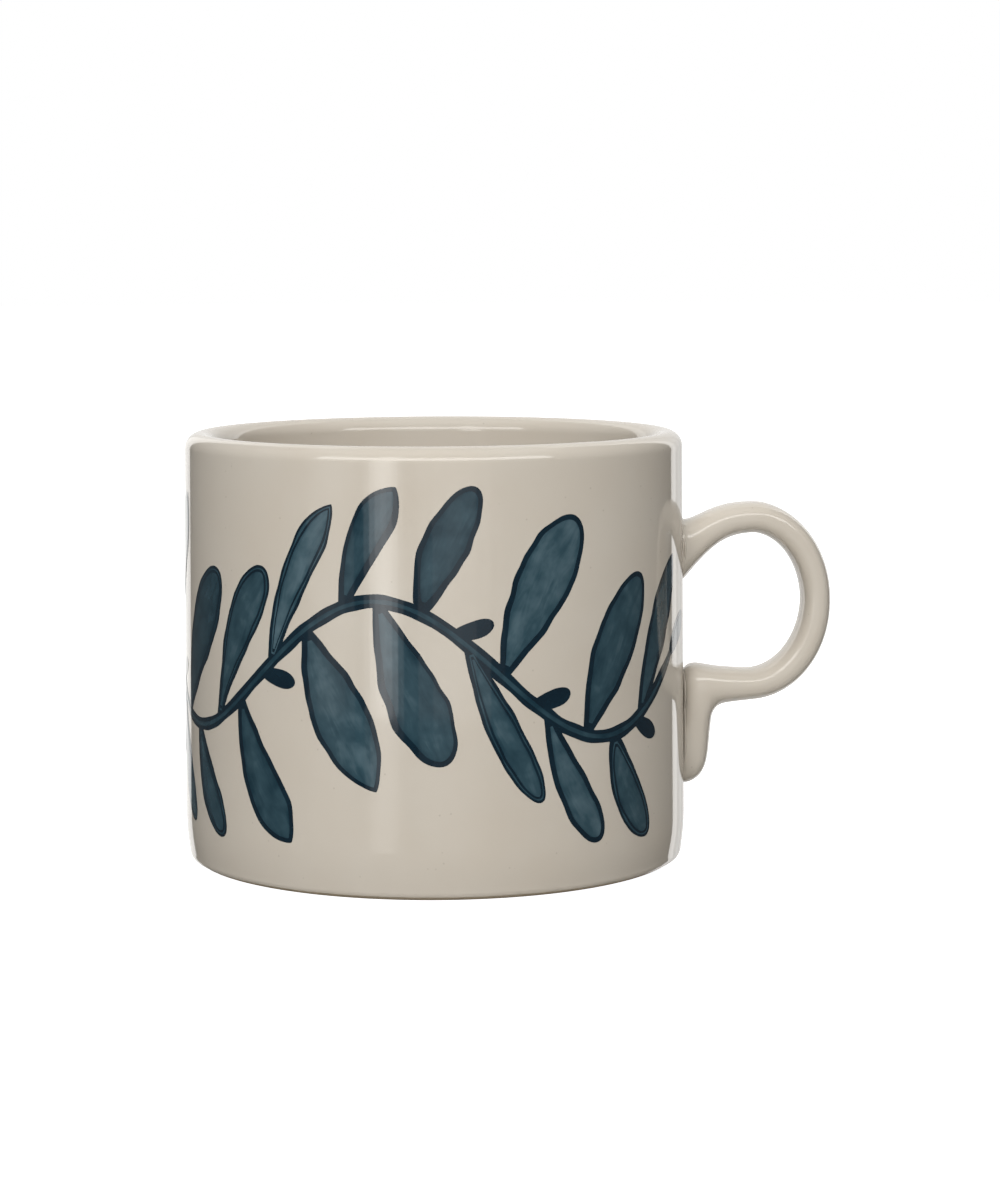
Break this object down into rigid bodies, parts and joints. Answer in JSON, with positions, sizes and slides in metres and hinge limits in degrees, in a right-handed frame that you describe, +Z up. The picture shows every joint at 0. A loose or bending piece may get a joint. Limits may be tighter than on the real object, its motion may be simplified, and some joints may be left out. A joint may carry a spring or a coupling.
{
  "type": "stoneware mug",
  "caption": "Straight-sided stoneware mug with a rounded lip, a ring handle with a short tail, clear glaze and a painted leaf vine.",
  "frame": {"origin": "centre of the foot ring, on the cup's axis, in the plane the mug stands on", "axes": "+Z up along the cup's axis, +X from the axis out through the middle of the handle"},
  "size_m": [0.1245, 0.0962, 0.082],
  "materials": {
    "bare_stoneware": "matte",
    "glazed_stoneware": "gloss",
    "glazed_slip": "gloss",
    "clear_glaze": "gloss"
  },
  "bodies": {
    "root": {"cup_body": "bare_stoneware", "ring_handle": "glazed_stoneware", "upper_slip_joint": "glazed_slip", "lower_slip_joint": "glazed_slip", "outer_glaze": "clear_glaze", "liner_glaze": "clear_glaze"}
  },
  "joints": []
}
